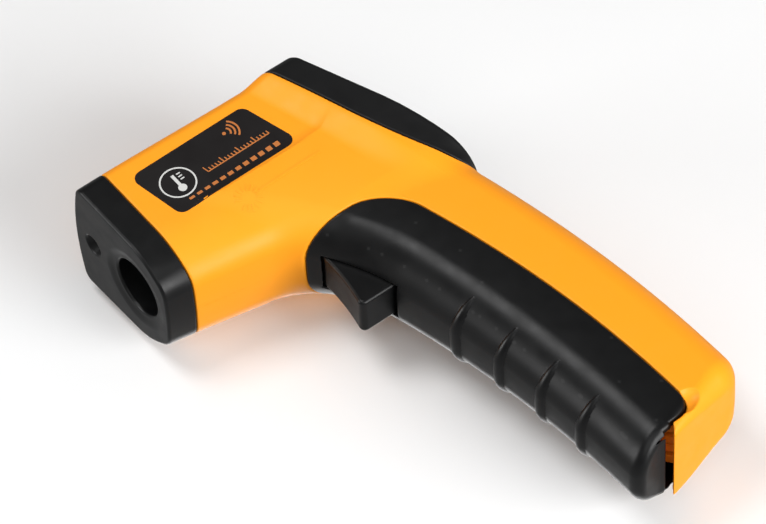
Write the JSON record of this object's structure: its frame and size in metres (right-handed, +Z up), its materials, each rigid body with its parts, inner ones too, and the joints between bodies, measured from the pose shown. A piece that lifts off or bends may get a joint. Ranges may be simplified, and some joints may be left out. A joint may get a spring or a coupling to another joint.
{
  "type": "infrared thermometer",
  "caption": "Handheld infrared thermometer shaped like a pistol, with a round aperture in the nose, trigger, leaning display at the back and a battery door that forms the grip front.",
  "frame": {"origin": "centre of the infrared aperture in the plane of the nose face", "axes": "+X out of the nose along the sensing axis, +Y to the user's left, +Z up towards the crowned top; the grip hangs down along -Z"},
  "size_m": [0.0962, 0.043, 0.1533],
  "materials": {
    "orange_shell": "satin moulded orange plastic",
    "black_plastic": "fine-grained matte black plastic",
    "black_satin": "satin black plastic",
    "black_inner": "plain moulded black plastic",
    "clear_window": "clear polished window",
    "lcd_glass": "grey-green display glass",
    "white_plastic": "milky diffuser",
    "rubber_strip": "soft contact strip",
    "board": "green solder mask",
    "chip_black": "moulded chip body",
    "button_grey": "soft-touch button",
    "label_black": "printed film",
    "steel": "bright steel",
    "brass": "turned brass",
    "lens_film": "milky infrared lens",
    "laser_glass": "small clear lens",
    "cell_wrap": "shrink-wrapped cell",
    "lead_red": "insulated lead",
    "lead_gold": "insulated lead",
    "plunger_red": "moulded plunger"
  },
  "bodies": {
    "body": {"left_shell": "orange_shell", "right_shell": "orange_shell", "nose_cap": "black_satin", "rear_bezel": "black_plastic", "display_window": "clear_window", "lcd_panel": "lcd_glass", "lcd_backlight": "white_plastic", "zebra_strips": "rubber_strip", "main_board": "board", "board_chips": "chip_black", "dome_switches": "steel", "left_label": "label_black", "right_label": "label_black", "door_pin": "steel", "trigger_pin": "steel", "trigger_spring": "steel", "switch_body": "chip_black", "switch_board": "board", "switch_bracket": "black_inner", "sensor_barrel": "black_inner", "sensor_lens": "lens_film", "thermopile": "steel", "sensor_board": "board", "laser_module": "brass", "laser_lens": "laser_glass", "laser_collar": "black_inner", "battery_tray": "black_inner", "battery_left": "cell_wrap", "battery_right": "cell_wrap", "battery_springs": "steel", "battery_plates": "steel", "battery_leads": "lead_red", "sensor_leads": "lead_gold", "laser_leads": "lead_red", "shell_screws": "steel"},
    "door": {"battery_door": "black_satin"},
    "trigger": {"trigger": "black_satin"},
    "plunger": {"switch_plunger": "plunger_red"},
    "mode_button": {"mode_button": "button_grey"},
    "light_button": {"light_button": "button_grey"}
  },
  "joints": [
    {"name": "battery_door_hinge", "type": "hinge", "parent": "body", "child": "door", "pos_m": [-0.06545, 0, -0.123], "axis": [0, 1, 0], "range_deg": [0, 60]},
    {"name": "trigger_pivot", "type": "hinge", "parent": "body", "child": "trigger", "pos_m": [-0.0438, 0, -0.0166], "axis": [0, 1, 0], "range_deg": [0, 8], "deforming": ["trigger_spring"]},
    {"name": "switch_plunger_slide", "type": "slide", "parent": "body", "child": "plunger", "axis": [-1, 0, 0], "range_m": [0, 0.0016]},
    {"name": "mode_button_press", "type": "slide", "parent": "body", "child": "mode_button", "axis": [0.9342, 0, -0.3567], "range_m": [0, 0.0008]},
    {"name": "light_button_press", "type": "slide", "parent": "body", "child": "light_button", "axis": [0.9342, 0, -0.3567], "range_m": [0, 0.0008]}
  ],
  "couplings": [
    {"joint": "switch_plunger_slide", "follows": "trigger_pivot", "m_per_rad": 0.0106}
  ]
}
